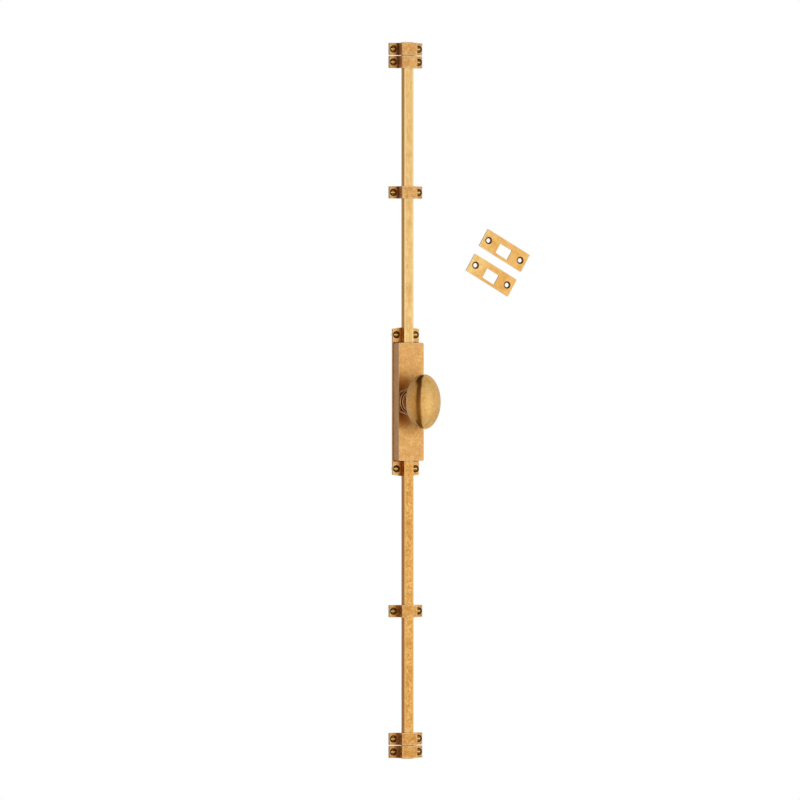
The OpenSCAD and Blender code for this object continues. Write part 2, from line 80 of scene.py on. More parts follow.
def add_aimed(name, data, place, back):
    """Stands a camera or a lamp at a place, facing away from the direction back."""
    made = bpy.data.objects.new(name, data)
    made.location = place
    made.rotation_mode = "QUATERNION"
    made.rotation_quaternion = (-back).to_track_quat("-Z", "Y")
    bpy.context.scene.collection.objects.link(made)
    return made


def add_camera():
    """Stands the camera at the photograph's angle, aimed so that the knob's axis falls on its pixel."""
    back = towards(VIEW_AZIMUTH)
    right = Vector((-back.y, back.x, 0))
    aside = (PHOTO_SIDE / 2 - AXIS_PIXEL[0]) * PHOTO_SCALE
    above = (AXIS_PIXEL[1] - PHOTO_SIDE / 2) * PHOTO_SCALE
    target = right * aside + Vector((0, 0, above))
    data = bpy.data.cameras.new("camera")
    data.sensor_width = SENSOR
    data.lens = SENSOR * VIEW_DISTANCE / (PHOTO_SIDE * PHOTO_SCALE)
    data.clip_end = VIEW_END
    bpy.context.scene.camera = add_aimed("camera", data, target + back * VIEW_DISTANCE, back)


add_camera()


# Shader maths

class Wire:
    """An output of a shader node. Arithmetic on it adds Math nodes to the same material."""

    def __init__(self, finish, socket):
        self.finish = finish
        self.socket = socket

    def other(self, name):
        """Another output of the same node."""
        return Wire(self.finish, self.socket.node.outputs[name])

    def __add__(self, other):
        return self.finish.math("ADD", self, other)

    def __sub__(self, other):
        return self.finish.math("SUBTRACT", self, other)

    def __rsub__(self, other):
        return self.finish.math("SUBTRACT", other, self)

    def __mul__(self, other):
        return self.finish.math("MULTIPLY", self, other)

    def __pow__(self, other):
        return self.finish.math("POWER", self, other)

    def __abs__(self):
        return self.finish.math("ABSOLUTE", self)

    __radd__ = __add__
    __rmul__ = __mul__


class Finish:
    """A material under construction."""

    def __init__(self, tree):
        self.tree = tree
        self.tree.nodes.clear()

    def node(self, kind, settings=None, sockets=None, out=0):
        """Adds a node of that kind, applies its settings, then sets or links its sockets."""
        made = self.tree.nodes.new("ShaderNode" + kind)
        for name, value in (settings or {}).items():
            setattr(made, name, value)
        for name, value in (sockets or {}).items():
            if isinstance(value, Wire):
                self.tree.links.new(value.socket, made.inputs[name])
            else:
                made.inputs[name].default_value = value
        return Wire(self, made.outputs[out]) if made.outputs else made

    def math(self, operation, left, right=0.0):
        return self.node("Math", {"operation": operation}, {0: left, 1: right})

    def least(self, values):
        """The smallest of several values."""
        smallest, *others = values
        for value in others:
            smallest = self.math("MINIMUM", smallest, value)
        return smallest

    def ramp(self, value, low, high):
        """Runs a value from low to high onto 0 to 1, and holds it there outside that range."""
        return self.node("MapRange", {"clamp": True}, {"Value": value, "From Min": low, "From Max": high})

    def mix(self, share, first, second):
        """A colour that goes from first to second as share goes from 0 to 1."""
        return self.node("Mix", {"data_type": "RGBA"}, {0: share, 6: first, 7: second}, out=2)

    def place(self):
        return self.node("TexCoord", out="Object")

    def axes(self):
        """The three coordinates of a point on the piece, in metres."""
        x = self.node("SeparateXYZ", {}, {0: self.place()})
        return x, x.other("Y"), x.other("Z")

    def noise(self, place, scale, detail, rough):
        """Soft noise whose lumps are about 1 / scale metres wide."""
        return self.node("TexNoise", {}, {"Vector": place, "Scale": scale, "Detail": detail, "Roughness": rough})


def rgb(red, green, blue):
    return (red, green, blue, 1.0)


def dimmed(colour, share):
    return rgb(*(share * v for v in colour[:3]))


def between(first, second, share):
    """A fixed colour that goes from first to second as share goes from 0 to 1."""
    return rgb(*((1 - share) * a + share * b for a, b in zip(first[:3], second[:3])))


def new_material(name):
    material = bpy.data.materials.new(name)
    material.use_nodes = True
    return material, Finish(material.node_tree)


# Brass finishes

CLOUDS = 34.0, 4.0, 0.6              # scale, detail and roughness of each noise
PATCHES = 130.0, 3.0, 0.6
MOTTLE = 330.0, 4.0, 0.6
GRAIN = 900.0, 2.0, 0.6
ROSY_SPOTS = 240.0, 2.0, 0.5
RAGGED_RIM = 420.0, 3.0, 0.65

EVEN_MARKS = 0.14, 0.20, 0.30, 0.36  # shares of the clouds, patches, mottle and grain in a finish
BLOTCHED_MARKS = 0.10, 0.30, 0.42, 0.18
SPECKLED_MARKS = 0.10, 0.22, 0.50, 0.18
BROAD_MARKS = 0.30, 0.36, 0.22, 0.12

ROSY_SHARE = 0.35
EDGE_GOLD = rgb(1, 0.9, 0.6)         # the bright metal of a rubbed edge
EDGE_SHARE = 0.95
PATINA_AND_SHADE_REACH = 2.0 * MM                # how near faces stand where patina and painted shade lie between them
PATINA_AND_SHADE_DIM = 0.14                      # of the tarnish's own colour
GRAIN_HEIGHT = 0.05 * MM


def tarnished(f, laid, dark, tone, pale, marks, spread):
    """The metal's colour under its tarnish and rosy spots, how clean it is, its mottle and its grain."""
    place = f.place()
    cloud, patch = f.noise(place, *CLOUDS), f.noise(place, *PATCHES)
    mottle, grain = f.noise(laid, *MOTTLE), f.noise(laid, *GRAIN)
    tarnish = cloud * marks[0] + patch * marks[1] + mottle * marks[2] + grain * marks[3]
    clean = f.ramp(tarnish, 0.5 - spread, 0.5 + spread)
    colour = f.mix(f.ramp(clean, 0.0, 0.5), dark, tone)
    colour = f.mix(f.ramp(clean, 0.5, 1.0), colour, pale)
    rosy = f.ramp(f.noise(laid, *ROSY_SPOTS), 0.5, 0.66)
    colour = f.mix(rosy * ROSY_SHARE, colour, rgb(tone[0], 0.97 * tone[1], 1.4 * tone[2]))
    return colour, clean, mottle, grain


def rubbed_edge(f, reach, mottle):
    """1 where a normal that is rounded over this reach leaves the flat face's own, broken up by the mottle."""
    rounded = f.node("Bevel", {"samples": 10}, {"Radius": reach})
    flat = f.node("NewGeometry", out="Normal")
    facing = f.node("VectorMath", {"operation": "DOT_PRODUCT"}, {0: rounded, 1: flat}, out="Value")
    return f.ramp(1 - facing, 0.002, 0.04) * f.ramp(mottle, 0.22, 0.5)


def corner_patina_and_shade(f):
    """Patina and painted shade: 1 deep between faces that stand close together."""
    open_air = f.node("AmbientOcclusion", {"samples": 8}, {"Distance": PATINA_AND_SHADE_REACH}, out="AO")
    return f.ramp(1 - open_air, 0.3, 0.85)


def aged_brass(name, dark, tone, pale, rough=0.2, marks=EVEN_MARKS, spread=0.095, lay=(1, 1, 1), turn=0.0,
               edge_round=0.2 * MM, edge_wear=1.4 * MM, edge_tone=EDGE_GOLD, stain_and_painted_light=None, patina_and_shade_share=None, scraped_and_sheen=None):
    """Brass with cloudy tarnish, rosy patches, a fine mottle, patina and painted shade in its corners and rubbed,
    rounded edges. A wider spread evens the tarnish out, and lay and turn draw the mottle out along a bar. The colour
    changer adds stains and painted light and shade, the corner share says how much of the corners' patina and painted
    shade stays at a place, and the top layer gives the share of bare metal and of painted sheen over them, its colour
    and its added roughness."""
    material, f = new_material(name)
    laid = f.node("Mapping", {"vector_type": "TEXTURE"},
                  {"Vector": f.place(), "Rotation": (0, math.radians(turn), 0), "Scale": lay})
    colour, clean, mottle, grain = tarnished(f, laid, dark, tone, pale, marks, spread)
    # Patina and painted shade in the corners.
    patina_and_shade = corner_patina_and_shade(f)
    if patina_and_shade_share:
        patina_and_shade = patina_and_shade * patina_and_shade_share(f)
    edge = rubbed_edge(f, edge_wear, mottle)
    colour = f.mix(edge * (1 - patina_and_shade) * EDGE_SHARE, colour, between(pale, edge_tone, 0.6))
    # Stains, and on several pieces painted light and shade.
    if stain_and_painted_light:
        colour = stain_and_painted_light(f, colour)
    # The corners darken with patina and with painted shade.
    colour = f.mix(patina_and_shade, colour, dimmed(dark, PATINA_AND_SHADE_DIM))
    roughness = rough + (1 - clean) * 0.08 + patina_and_shade * 0.15
    # Bare metal and painted sheen laid over the colour.
    if scraped_and_sheen:
        share, metal, added = scraped_and_sheen(f)
        colour = f.mix(share, colour, metal)
        roughness = roughness + share * added

    rounded = f.node("Bevel", {"samples": 6}, {"Radius": edge_round})
    bump = f.node("Bump", {}, {"Strength": 0.18, "Distance": GRAIN_HEIGHT, "Height": mottle * 0.5 + grain * 0.5,
                               "Normal": rounded})
    surface = f.node("BsdfPrincipled", {}, {"Base Color": colour, "Metallic": 1.0, "Roughness": roughness,
                                            "Normal": bump})
    f.node("OutputMaterial", {}, {"Surface": surface})
    return material


# Where the wood screws and the strike plates' holes stand, as x and z on the door

STRAPS = ["upper_keeper", "upper_end_guide", "upper_mid_guide", "lower_mid_guide", "lower_end_guide", "lower_keeper"]
HEAD_RADIUS = 3.4 * MM
HOLE_REACH = 22.3 * MM               # a strike plate's middle to each of its holes
STRIKE_TILT = 29.8                   # degrees that the loose strike plates lie turned


def screw_places(node):
    """The axes of the two or four screws of a group, from the corners of its box."""
    low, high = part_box(node)
    levels = sorted({round(low.z + HEAD_RADIUS, 6), round(high.z - HEAD_RADIUS, 6)})
    return [(x, z) for x in (low.x + HEAD_RADIUS, high.x - HEAD_RADIUS) for z in levels]


def strike_holes(node):
    """The two holes of a strike plate, either side of its middle along its tilted length."""
    low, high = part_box(node)
    tilt = math.radians(STRIKE_TILT)
    run, fall = HOLE_REACH * math.cos(tilt), HOLE_REACH * math.sin(tilt)
    x, z = (low.x + high.x) / 2, (low.z + high.z) / 2
    return [(x + run, z - fall), (x - run, z + fall)]


STRAP_SCREWS = [place for node in STRAPS for place in screw_places(node + "_screws")]
BASE_SCREWS = screw_places("base_screws")
STRIKE_HOLES = strike_holes("strike_plate_upper") + strike_holes("strike_plate_lower")


# Stains, wear, patina, and painted light and shade. Pairs of lengths are where a change begins and where it is
# complete.

SINK_FRONT = -0.6 * MM, -0.3 * MM    # y in front of which a countersink is painted with shade
SINK_SHARE = 0.93
# The countersinks' near-black is painted shade.
SINK_SHADE = rgb(0.06, 0.022, 0.006)
SINK_RIM = 4.15 * MM, 4.35 * MM      # from a wood screw's axis to its countersink's rim, with the painted shade round it
# Painted shade where parts meet in corners.
CORNER_SHADE = rgb(0.10, 0.036, 0.010)


def nearest(f, places):
    """Distance from a point to the nearest of several axes that run straight out of the door."""
    x, _, z = f.axes()
    squares = []
    for px, pz in places:
        across, up = x - px, z - pz
        squares.append(across * across + up * up)
    return f.least(squares) ** 0.5


def countersink_shade(f, places, rim):
    """Painted shade inside the countersinks round these axes, which open to the front."""
    _, y, _ = f.axes()
    return (1 - f.ramp(nearest(f, places), *rim)) * (1 - f.ramp(y, *SINK_FRONT)) * SINK_SHARE


BRIDGE_HALF = 9.25 * MM              # a strap's middle to the cheek of its bridge
EAR_Y = -3.0 * MM                    # the front of its ears
EAR_BROWN = rgb(0.42, 0.20, 0.055)
CHEEK_RISE = 2.0 * MM, 4.2 * MM      # above the ears
# The colour of the painted sheen on the bridges' cheeks.
CHEEK_SHEEN = rgb(1.0, 0.72, 0.36)
CORNER_REACH = 1.1 * MM, 2.9 * MM    # of the painted shade beside a bridge
CORNER_RISE = 1.35                   # it climbs the cheek that many times less far
CORNER_RAGGED = 3.4 * MM


def bridge_cheek(f):
    """1 on the upright cheeks of a strap's bridge, from a third of their height to the front."""
    x, y, _ = f.axes()
    off = abs(abs(x) - BRIDGE_HALF)
    return (1 - f.ramp(off, 0.05 * MM, 0.15 * MM)) * f.ramp(EAR_Y - y, *CHEEK_RISE)


def cheek_shine(f):
    """The upper straps' cheeks are scratched dull, which the added roughness gives, and a painted sheen makes them
    paler.
    """
    return bridge_cheek(f) * 0.8, rgb(0.97, 0.63, 0.26), 0.2


def strap_tarnish_and_painted_light(cheek_sheen_share, corner_shade_share):
    """Painted shade in the countersinks, ragged painted shade in the front corners beside the bridge, cheeks paler
    with a painted sheen, and ears duller than the bridge, which hands keep rubbed."""
    def stain_and_painted_light(f, colour):
        x, y, _ = f.axes()
        aside, above = abs(x) - BRIDGE_HALF, EAR_Y - y
        ear = 1 - f.ramp(above, 0.2 * MM, 2.5 * MM)
        colour = f.mix(ear * 0.2, colour, EAR_BROWN)
        # A painted sheen on the cheeks.
        colour = f.mix(bridge_cheek(f) * cheek_sheen_share, colour, CHEEK_SHEEN)
        # Ragged painted shade in the front corners beside the bridge.
        ragged = (f.noise(f.place(), *RAGGED_RIM) - 0.5) * CORNER_RAGGED
        corner = 1 - f.ramp(f.math("MAXIMUM", aside, CORNER_RISE * above) + ragged, *CORNER_REACH)
        front = f.ramp(above, -0.5 * MM, -0.2 * MM)
        colour = f.mix(corner * front * corner_shade_share, colour, CORNER_SHADE)
        return f.mix(countersink_shade(f, STRAP_SCREWS, SINK_RIM), colour, SINK_SHADE)
    return stain_and_painted_light


COVER_HALF = 15.35 * MM              # half the cover's width
COVER_END = 66.69 * MM               # half its height
COVER_EDGE = COVER_HALF - 0.2 * MM, COVER_HALF
SHADE_LINE = COVER_END + 0.5 * MM, COVER_END + 1.2 * MM
PLATE_FRONT = -1.5 * MM, -1.2 * MM


def base_painted_shade(f, colour):
    """Painted shade in the countersinks, and a dark line of painted shade where the cover's ends stand on the plate.
    """
    x, y, z = f.axes()
    line = 1 - f.ramp(abs(z), *SHADE_LINE)
    line = line * (1 - f.ramp(abs(x), *COVER_EDGE))
    line = line * (1 - f.ramp(y, *PLATE_FRONT))
    # A line of painted shade along the cover's ends.
    colour = f.mix(line * 0.85, colour, CORNER_SHADE)
    return f.mix(countersink_shade(f, BASE_SCREWS, SINK_RIM), colour, SINK_SHADE)


def base_patina_and_shade_share(f):
    """The plate's narrow lip beside the cover takes no patina and no painted shade."""
    x, _, _ = f.axes()
    return 1 - f.ramp(abs(x), *COVER_EDGE)


def little_patina_and_shade(f):
    """Pieces that hands reach keep little patina and painted shade in their corners."""
    return 0.3


HEAD_RIM = 2.2 * MM, 3.3 * MM
# The painted shade at a screw head's rim.
RIM_SHADE = rgb(0.07, 0.03, 0.008)
SLOT_ROWS = sorted({z for _, z in STRAP_SCREWS + BASE_SCREWS})
SLOT_HALF = 0.55 * MM, 0.65 * MM     # half a driver slot's width
SLOT_FLOOR = -1.7 * MM, -1.6 * MM
SLOT_BRIGHT = rgb(1.0, 0.73, 0.29)


def screw_rim_shade(f, colour):
    """A head is darkest at its rim, where painted shade lies."""
    rim = f.ramp(nearest(f, STRAP_SCREWS + BASE_SCREWS), *HEAD_RIM)
    return f.mix(rim * 0.85, colour, RIM_SHADE)


def slot_shine(f):
    """The driver has worn the slots bright by scraping them."""
    _, y, z = f.axes()
    away = f.least([abs(z - level) for level in SLOT_ROWS])
    slot = (1 - f.ramp(away, *SLOT_HALF)) * (1 - f.ramp(y, *SLOT_FLOOR))
    return slot, SLOT_BRIGHT, 0.05


KNOB_BACK = -50 * MM, -44 * MM
KNOB_BROWN = rgb(0.25, 0.11, 0.03)


def knob_stain(f, colour):
    """The knob's back and its shank, which no hand polishes, are browner."""
    _, y, _ = f.axes()
    return f.mix(f.ramp(y, *KNOB_BACK) * 0.45, colour, KNOB_BROWN)


COVER_FRONT = -19.1 * MM, -18.2 * MM
OVAL_DROP = 0.8 * MM                 # the painted reflection round the knob lies this far below its axis
OVAL_SQUASH = 0.42                   # its width over its height, squared
OVAL_REACH = 15.5 * MM, 26.5 * MM
KNOB_REFLECTION_BROWN = rgb(0.24, 0.095, 0.018)
PAD_FRONT = -20.45 * MM, -20.4 * MM
PAD_FOOT = -19.4 * MM, -19.35 * MM
PAD_HIGHLIGHT = rgb(1.0, 0.72, 0.40)


def cover_knob_reflection(f, colour):
    """A painted reflection of the knob's dark back on the cover's front round the knob, in an upright oval."""
    x, y, z = f.axes()
    rise = z + OVAL_DROP
    around = (x * x + rise * rise * OVAL_SQUASH) ** 0.5
    # The painted reflection of the knob's dark back.
    knob_reflection = (1 - f.ramp(around, *OVAL_REACH)) * (1 - f.ramp(y, *COVER_FRONT))
    return f.mix(knob_reflection * 0.72, colour, KNOB_REFLECTION_BROWN)


def pad_wall_highlight(f):
    """A painted highlight on the low walls of the six-sided pad, which are also rougher."""
    _, y, _ = f.axes()
    wall = f.ramp(y, *PAD_FRONT) * (1 - f.ramp(y, *PAD_FOOT))
    return wall * 0.9, PAD_HIGHLIGHT, 0.25


ROSE_WALL_IN = 12.8 * MM, 13.0 * MM  # radii at which the painted-shade wall begins and ends
ROSE_WALL_OUT = 13.4 * MM, 13.7 * MM
ROSE_WALL_FRONT = -24.6 * MM, -24.2 * MM
ROSE_DISH = 10.7 * MM, 11.0 * MM
ROSE_SHADE = rgb(0.10, 0.04, 0.01)


def rose_painted_shade(f, colour):
    """Painted shade on the upright wall of the rose's raised middle, and in its dish."""
    x, y, z = f.axes()
    around = (x * x + z * z) ** 0.5
    wall = f.ramp(around, *ROSE_WALL_IN) * (1 - f.ramp(around, *ROSE_WALL_OUT))
    wall = wall * f.ramp(y, *ROSE_WALL_FRONT)
    dish = 1 - f.ramp(around, *ROSE_DISH)
    return f.mix(f.math("MAXIMUM", wall * 0.85, dish * 0.15), colour, ROSE_SHADE)


ROD_RUBBED_SHEEN = 3.1 * MM, 4.1 * MM      # from a rod's middle
ROD_SIDE = 5.4 * MM, 5.6 * MM


def rod_side_shade_and_sheen(side_shade_colour, rubbed_sheen_colour):
    """A rod's sides carry painted shade, redder than its front, and its front is paler near its edges, rubbed by the
    straps and with a painted sheen.
    """
    def stain_and_painted_light(f, colour):
        x, _, _ = f.axes()
        aside = abs(x)
        colour = f.mix(f.ramp(aside, *ROD_RUBBED_SHEEN) * 0.65, colour, rubbed_sheen_colour)
        return f.mix(f.ramp(aside, *ROD_SIDE) * 0.6, colour, side_shade_colour)
    return stain_and_painted_light


STRIKE_MIDDLE = 19.6 * MM            # where both strike plates have their middle along the tilted line
STRIKE_FALL = -23 * MM, -8 * MM      # from that middle
STRIKE_BROWN = rgb(0.85, 0.375, 0.07)
STRIKE_RIM = 4.1 * MM, 4.5 * MM
STRIKE_SINK_SHADE = rgb(0.28, 0.11, 0.026)
SHADE_ASIDE = 0.3 * MM               # the painted shade lies that far left of a hole's axis


def strike_tarnish_and_shade(f, colour):
    """The strike plates brown towards their lower end, and their countersinks are darkened with painted shade."""
    x, _, z = f.axes()
    tilt = math.radians(STRIKE_TILT)
    along = x * math.cos(tilt) - z * math.sin(tilt) - STRIKE_MIDDLE
    colour = f.mix(f.ramp(along, *STRIKE_FALL) * 0.45, colour, STRIKE_BROWN)
    shifted_holes = [(px - SHADE_ASIDE, pz) for px, pz in STRIKE_HOLES]
    return f.mix(countersink_shade(f, shifted_holes, STRIKE_RIM), colour, STRIKE_SINK_SHADE)


# The finish of each piece, with its dark, middle and pale metal

# The lower pieces' brass is darker than the upper pieces': partly their own tarnish, partly painted shade where the
# light falls dimmer lower down.
CAST_COLOURS = rgb(0.68, 0.34, 0.092), rgb(0.845, 0.47, 0.156), rgb(0.99, 0.66, 0.285)
LOWER_CAST = rgb(0.62, 0.28, 0.060), rgb(0.79, 0.40, 0.108), rgb(0.95, 0.59, 0.215)
BASE = aged_brass("base_brass", *CAST_COLOURS, rough=0.27, stain_and_painted_light=base_painted_shade, patina_and_shade_share=base_patina_and_shade_share)
STRAP = aged_brass("strap_brass", *CAST_COLOURS, rough=0.3, marks=BLOTCHED_MARKS, stain_and_painted_light=strap_tarnish_and_painted_light(0.9, 0.9),
                   patina_and_shade_share=little_patina_and_shade, scraped_and_sheen=cheek_shine)
LOWER_STRAP = aged_brass("lower_strap_brass", *LOWER_CAST, rough=0.3, marks=BLOTCHED_MARKS,
                         stain_and_painted_light=strap_tarnish_and_painted_light(0.65, 0.65), patina_and_shade_share=little_patina_and_shade)
COVER = aged_brass("cover_brass", *CAST_COLOURS, rough=0.27, spread=0.13, stain_and_painted_light=cover_knob_reflection, scraped_and_sheen=pad_wall_highlight,
                   edge_round=0.3 * MM, patina_and_shade_share=little_patina_and_shade)
# The rose's metal is lighter than the cast pieces': painted light that brightens it against the knob's dark back.
ROSE = aged_brass("rose_brass", rgb(0.78, 0.44, 0.14), rgb(0.94, 0.58, 0.22), rgb(1.0, 0.74, 0.36), rough=0.4,
                  stain_and_painted_light=rose_painted_shade, patina_and_shade_share=little_patina_and_shade)
KNOB = aged_brass("knob_brass", rgb(0.74, 0.43, 0.13), rgb(0.87, 0.54, 0.182), rgb(0.97, 0.66, 0.26), rough=0.12,
                  stain_and_painted_light=knob_stain)
# The upper rod's brass is lighter and yellower than the lower rod's: partly tarnish, partly painted light that falls
# brighter higher up.
UPPER_ROD = aged_brass("upper_rod_brass", rgb(0.79, 0.47, 0.145), rgb(0.92, 0.59, 0.215), rgb(1.0, 0.75, 0.36),
                       marks=BLOTCHED_MARKS, spread=0.12, lay=(0.6, 0.6, 2.6),
                       stain_and_painted_light=rod_side_shade_and_sheen(rgb(0.99, 0.44, 0.05), rgb(1.0, 0.79, 0.39)))
LOWER_ROD = aged_brass("lower_rod_brass", rgb(0.66, 0.30, 0.06), rgb(0.82, 0.43, 0.108), rgb(0.96, 0.62, 0.22),
                       marks=SPECKLED_MARKS, spread=0.072, lay=(0.6, 0.6, 0.85),
                       stain_and_painted_light=rod_side_shade_and_sheen(rgb(0.74, 0.34, 0.135), rgb(0.87, 0.49, 0.14)))
STRIKE = aged_brass("strike_brass", rgb(0.85, 0.48, 0.125), rgb(0.99, 0.66, 0.225), rgb(1.0, 0.80, 0.36),
                    marks=BROAD_MARKS, lay=(2.5, 1, 1), turn=STRIKE_TILT, stain_and_painted_light=strike_tarnish_and_shade, patina_and_shade_share=little_patina_and_shade)
SCREW = aged_brass("screw_brass", rgb(0.16, 0.060, 0.010), rgb(0.29, 0.125, 0.022), rgb(0.46, 0.23, 0.05),
                   edge_round=0.08 * MM, edge_wear=0.2 * MM, stain_and_painted_light=screw_rim_shade, scraped_and_sheen=slot_shine, patina_and_shade_share=little_patina_and_shade)
INNER = aged_brass("inner_brass", rgb(0.45, 0.25, 0.08), rgb(0.66, 0.40, 0.15), rgb(0.80, 0.55, 0.25))
STEEL = aged_brass("machined_steel", rgb(0.30, 0.29, 0.28), rgb(0.50, 0.49, 0.47), rgb(0.65, 0.64, 0.62),
                   edge_tone=rgb(0.8, 0.79, 0.77))

BY_SLOT = {"cast_brass": STRAP, "drawn_brass": STRIKE, "screw_brass": SCREW, "inner_brass": INNER, "steel": STEEL}
BY_NODE = {"base_plate": BASE, "gearbox_cover": COVER, "knob_rose": ROSE, "knob": KNOB,
           "upper_rod": UPPER_ROD, "lower_rod": LOWER_ROD}
BY_NODE.update({name: LOWER_STRAP for name in STRAPS if name.startswith("lower")})


def dress_nodes():
    """Gives every CAD piece its own finish, or the finish of its material slot."""
    for name, slot in slots.items():
        nodes[name].data.materials.clear()
        nodes[name].data.materials.append(BY_NODE.get(name, BY_SLOT[slot]))


dress_nodes()


# New pieces

def add_mesh(name, points, faces):
    """A mesh object at the origin from arrays of points and of faces."""
    mesh = bpy.data.meshes.new(name)
    mesh.from_pydata(points.reshape(-1, 3).tolist(), [], faces.tolist())
    made = bpy.data.objects.new(name, mesh)
    bpy.context.scene.collection.objects.link(made)
    return made


def grid_faces(rows, columns):
    """Four-cornered faces that join a grid of rows by columns points."""
    first = (np.arange(rows - 1)[:, None] * columns + np.arange(columns - 1)).ravel()
    return np.stack([first, first + columns, first + columns + 1, first + 1], 1)


PITCH = 1.4 * MM
THREAD_START, THREAD_END = 0.5 * MM, 9.9 * MM      # how far behind the door's face the threads begin and run out
CORE_RADIUS = 1.5 * MM
TAPER_START, POINT = 8.0 * MM, 11.0 * MM           # where the core begins to narrow, and its point
THREAD_HEIGHT = 0.42 * MM                          # at the head's end
THREAD_TAPER = 0.65                                # share of that height lost by the point's end
THREAD_FLANK = 0.42 * MM                           # half the thread's width at its foot
THREAD_ROOT = 0.1 * MM                             # how deep its foot lies in the core
RUN_OUT = 0.6                                      # turns in which it swells from nothing at each end
STEPS_A_TURN = 24


def screw_threads():
    """A ridge of three-cornered section carried along a helix round each wood screw. The helix narrows with the
    screw's core, and the section shrinks to a point at both ends of the run, which closes the ridge."""
    turns = (THREAD_END - THREAD_START) / PITCH
    steps = int(STEPS_A_TURN * turns) + 1
    run = np.linspace(0, 1, steps)
    angle = 2 * np.pi * turns * run
    middle = THREAD_START + (THREAD_END - THREAD_START) * run
    swell = np.clip(run * turns / RUN_OUT, 0, 1) * np.clip((1 - run) * turns / RUN_OUT, 0, 1)
    narrow = np.clip((POINT - middle) / (POINT - TAPER_START), 0, 1)
    core = CORE_RADIUS * narrow
    foot = core - THREAD_ROOT * swell * narrow
    crest = core + THREAD_HEIGHT * swell * (1 - THREAD_TAPER * run)
    radius = np.stack([foot, crest, foot, foot], 1)
    depth = middle[:, None] + THREAD_FLANK * swell[:, None] * np.array([-1, 0, 1, -1])
    one = np.stack([radius * np.cos(angle)[:, None], depth, radius * np.sin(angle)[:, None]], -1)
    axes = np.array([(x, 0, z) for x, z in STRAP_SCREWS + BASE_SCREWS])
    points = one[None] + axes[:, None, None, :]
    first = np.arange(len(axes))[:, None, None] * one.shape[0] * one.shape[1]
    faces = first + grid_faces(steps, 4)[None]
    return add_mesh("screw_threads", points, faces.reshape(-1, 4))


threads = screw_threads()
threads.data.materials.append(SCREW)
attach(threads, "gearbox")


# Light and stage

TENT_RADIUS = 3.0
TENT_SEAM = -200                     # azimuth at which the cloth begins and ends, behind the bolt
TENT_COLUMNS, TENT_ROWS = 361, 91
TENT_HEIGHTS = [-90, -75, -52, -37, -24, -13, 0, 13, 24, 37, 52, 75, 90]
FRONT_RISE = [0.80, 0.62, 0.74, 0.80, 0.89, 0.98, 1.0, 0.90, 0.80, 0.71, 0.60, 0.52, 0.80]
EVEN_START, EVEN_FADE = 45, 20       # azimuth past which the cloth no longer dims with height, and over how much
TENT_CLOTHS = np.array([             # azimuth, then the light's red, green and blue at the level of the knob
    (-200, 0.98, 0.96, 0.95), (-180, 0.95, 0.92, 0.91), (-171, 0.70, 0.67, 0.67), (-165, 0.37, 0.35, 0.375),
    (-158, 0.325, 0.305, 0.33), (-150, 0.38, 0.35, 0.37), (-143, 0.56, 0.50, 0.50), (-125, 0.61, 0.52, 0.53),
    (-110, 0.60, 0.51, 0.52), (-85, 0.64, 0.53, 0.49), (-65, 0.61, 0.50, 0.40), (-49, 0.59, 0.47, 0.34),
    (-40, 0.54, 0.43, 0.28), (-30, 0.51, 0.41, 0.28), (-5, 0.85, 0.735, 0.60), (5, 0.91, 0.83, 0.72),
    (15, 0.955, 0.905, 0.845), (27, 1.0, 1.0, 1.0), (35, 0.97, 0.95, 0.92), (45, 0.87, 0.835, 0.79),
    (55, 0.80, 0.755, 0.72), (70, 0.735, 0.685, 0.66), (90, 0.715, 0.66, 0.665), (125, 0.74, 0.68, 0.70),
    (138, 0.80, 0.76, 0.76), (150, 0.93, 0.91, 0.90), (160, 0.95, 0.93, 0.92)])
FLAG_TURNS = [-120, -98, -86, -82, -75, -64, -54, -45, -38, 0, 37, 43, 48, 59, 69, 81, 89, 96, 108, 125]
FLAG_LEFT = [0.02, -0.01, -0.08, -0.24, -0.30, -0.37, -0.39, -0.24, -0.15, -0.15,
             -0.14, -0.23, -0.28, -0.44, -0.40, -0.31, -0.26, -0.15, -0.04, 0.03]
FLAG_RIGHT = [0.10, 0.20, 0.20, 0.20, 0.21, 0.215, 0.22, 0.23, 0.26, 0.25,
              0.285, 0.285, 0.26, 0.22, 0.215, 0.25, 0.27, 0.25, 0.21, 0.10]
FLAG_FADES = 0.13, 0.05              # over which its left and its right edge fade
FLAG_END, FLAG_END_FADE = 125, 12    # the turn at which each of its ends is reached, and the fade before it
FLAG_COLOUR = (0.17, 0.095, 0.036)
FLAG_DIM_TURNS = [-100, -60, -30, -18, -6, 2, 12, 22, 35, 48, 58]
FLAG_DIM = [0.75, 0.83, 1.05, 1.4, 1.3, 1.02, 0.83, 0.72, 0.5, 0.42, 0.3]


